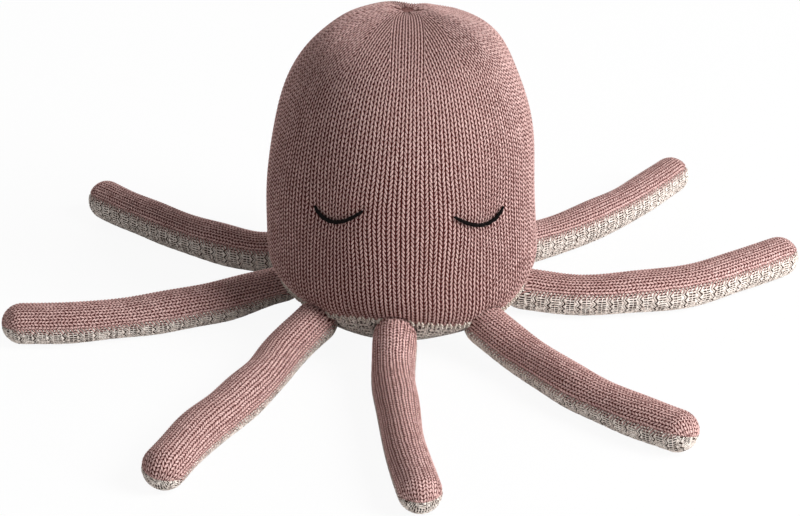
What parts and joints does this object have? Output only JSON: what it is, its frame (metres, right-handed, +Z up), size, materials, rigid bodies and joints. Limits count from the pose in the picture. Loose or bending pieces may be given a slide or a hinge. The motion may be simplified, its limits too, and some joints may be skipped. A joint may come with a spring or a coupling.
{
  "type": "plush octopus",
  "caption": "Knitted stuffed octopus: domed rose head with sleeping eyes, cream base panel, and long stuffed arms sewn round the rim that swing and lift.",
  "frame": {"origin": "middle of the flat underside of the base panel, where the toy rests", "axes": "+Z up through the crown, -Y towards the side the eyes look to, +X to the right of someone who faces the eyes"},
  "size_m": [0.4231, 0.4266, 0.1671],
  "materials": {
    "rose_knit": "dusty rose cotton stockinette knit, matt",
    "cream_knit": "cream cotton ribbed knit, matt and chunky",
    "stuffing": "white fibre stuffing",
    "rose_thread": "rose sewing yarn, matt",
    "cream_thread": "cream sewing yarn, matt",
    "eye_thread": "dark brown embroidery thread, slight sheen"
  },
  "bodies": {
    "head": {"head_cover": "rose_knit", "head_filling": "stuffing", "base_panel": "cream_knit", "rim_seam_yarn": "rose_thread", "crown_draw_thread": "rose_thread", "left_eye_stitch": "eye_thread", "right_eye_stitch": "eye_thread"},
    "front_arm_root": {"front_arm_root_stitching": "cream_thread"},
    "front_arm": {"front_arm_top_panel": "rose_knit", "front_arm_under_panel": "cream_knit", "front_arm_filling": "stuffing"},
    "front_right_arm_root": {"front_right_arm_root_stitching": "cream_thread"},
    "front_right_arm": {"front_right_arm_top_panel": "rose_knit", "front_right_arm_under_panel": "cream_knit", "front_right_arm_filling": "stuffing"},
    "right_arm_root": {"right_arm_root_stitching": "cream_thread"},
    "right_arm": {"right_arm_top_panel": "rose_knit", "right_arm_under_panel": "cream_knit", "right_arm_filling": "stuffing"},
    "back_right_arm_root": {"back_right_arm_root_stitching": "cream_thread"},
    "back_right_arm": {"back_right_arm_top_panel": "rose_knit", "back_right_arm_under_panel": "cream_knit", "back_right_arm_filling": "stuffing"},
    "back_arm_root": {"back_arm_root_stitching": "cream_thread"},
    "back_arm": {"back_arm_top_panel": "rose_knit", "back_arm_under_panel": "cream_knit", "back_arm_filling": "stuffing"},
    "back_left_arm_root": {"back_left_arm_root_stitching": "cream_thread"},
    "back_left_arm": {"back_left_arm_top_panel": "rose_knit", "back_left_arm_under_panel": "cream_knit", "back_left_arm_filling": "stuffing"},
    "left_arm_root": {"left_arm_root_stitching": "cream_thread"},
    "left_arm": {"left_arm_top_panel": "rose_knit", "left_arm_under_panel": "cream_knit", "left_arm_filling": "stuffing"},
    "front_left_arm_root": {"front_left_arm_root_stitching": "cream_thread"},
    "front_left_arm": {"front_left_arm_top_panel": "rose_knit", "front_left_arm_under_panel": "cream_knit", "front_left_arm_filling": "stuffing"}
  },
  "joints": [
    {"name": "front_arm_sway", "type": "hinge", "parent": "head", "child": "front_arm_root", "pos_m": [-0.00347, -0.06621, 0.0137], "axis": [0, 0, 1], "range_deg": [-15, 17], "stiffness_Nm_per_rad": 0.02},
    {"name": "front_arm_lift", "type": "hinge", "parent": "front_arm_root", "child": "front_arm", "pos_m": [-0.00347, -0.06621, 0.0137], "axis": [-0.9965, -0.0837, 0], "range_deg": [-60, 38], "stiffness_Nm_per_rad": 0.02},
    {"name": "front_right_arm_sway", "type": "hinge", "parent": "head", "child": "front_right_arm_root", "pos_m": [0.04688, -0.04688, 0.0137], "axis": [0, 0, 1], "range_deg": [-17, 30], "stiffness_Nm_per_rad": 0.02},
    {"name": "front_right_arm_lift", "type": "hinge", "parent": "front_right_arm_root", "child": "front_right_arm", "pos_m": [0.04688, -0.04688, 0.0137], "axis": [-0.7502, -0.6612, 0], "range_deg": [-60, 38], "stiffness_Nm_per_rad": 0.02},
    {"name": "right_arm_sway", "type": "hinge", "parent": "head", "child": "right_arm_root", "pos_m": [0.06629, 0.00116, 0.0137], "axis": [0, 0, 1], "range_deg": [-30, 13], "stiffness_Nm_per_rad": 0.02},
    {"name": "right_arm_lift", "type": "hinge", "parent": "right_arm_root", "child": "right_arm", "pos_m": [0.06629, 0.00116, 0.0137], "axis": [0.2895, -0.9572, 0], "range_deg": [-60, 38], "stiffness_Nm_per_rad": 0.02},
    {"name": "back_right_arm_sway", "type": "hinge", "parent": "head", "child": "back_right_arm_root", "pos_m": [0.04769, 0.04606, 0.0137], "axis": [0, 0, 1], "range_deg": [-13, 23], "stiffness_Nm_per_rad": 0.02},
    {"name": "back_right_arm_lift", "type": "hinge", "parent": "back_right_arm_root", "child": "back_right_arm", "pos_m": [0.04769, 0.04606, 0.0137], "axis": [0.6871, -0.7265, 0], "range_deg": [-60, 38], "stiffness_Nm_per_rad": 0.02},
    {"name": "back_arm_sway", "type": "hinge", "parent": "head", "child": "back_arm_root", "pos_m": [0, 0.0663, 0.0137], "axis": [0, 0, 1], "range_deg": [-23, 30], "stiffness_Nm_per_rad": 0.02},
    {"name": "back_arm_lift", "type": "hinge", "parent": "back_arm_root", "child": "back_arm", "pos_m": [0, 0.0663, 0.0137], "axis": [0.9998, -0.0175, 0], "range_deg": [-60, 38], "stiffness_Nm_per_rad": 0.02},
    {"name": "back_left_arm_sway", "type": "hinge", "parent": "head", "child": "back_left_arm_root", "pos_m": [-0.05224, 0.04082, 0.0137], "axis": [0, 0, 1], "range_deg": [-30, 15], "stiffness_Nm_per_rad": 0.02},
    {"name": "back_left_arm_lift", "type": "hinge", "parent": "back_left_arm_root", "child": "back_left_arm", "pos_m": [-0.05224, 0.04082, 0.0137], "axis": [0.5364, 0.844, 0], "range_deg": [-60, 38], "stiffness_Nm_per_rad": 0.02},
    {"name": "left_arm_sway", "type": "hinge", "parent": "head", "child": "left_arm_root", "pos_m": [-0.06626, 0.00231, 0.0137], "axis": [0, 0, 1], "range_deg": [-18, 20], "stiffness_Nm_per_rad": 0.02},
    {"name": "left_arm_lift", "type": "hinge", "parent": "left_arm_root", "child": "left_arm", "pos_m": [-0.06626, 0.00231, 0.0137], "axis": [-0.2725, 0.9622, 0], "range_deg": [-60, 38], "stiffness_Nm_per_rad": 0.02},
    {"name": "front_left_arm_sway", "type": "hinge", "parent": "head", "child": "front_left_arm_root", "pos_m": [-0.04849, -0.04522, 0.0137], "axis": [0, 0, 1], "range_deg": [-24, 15], "stiffness_Nm_per_rad": 0.02},
    {"name": "front_left_arm_lift", "type": "hinge", "parent": "front_left_arm_root", "child": "front_left_arm", "pos_m": [-0.04849, -0.04522, 0.0137], "axis": [-0.9018, 0.4321, 0], "range_deg": [-60, 38], "stiffness_Nm_per_rad": 0.02}
  ]
}
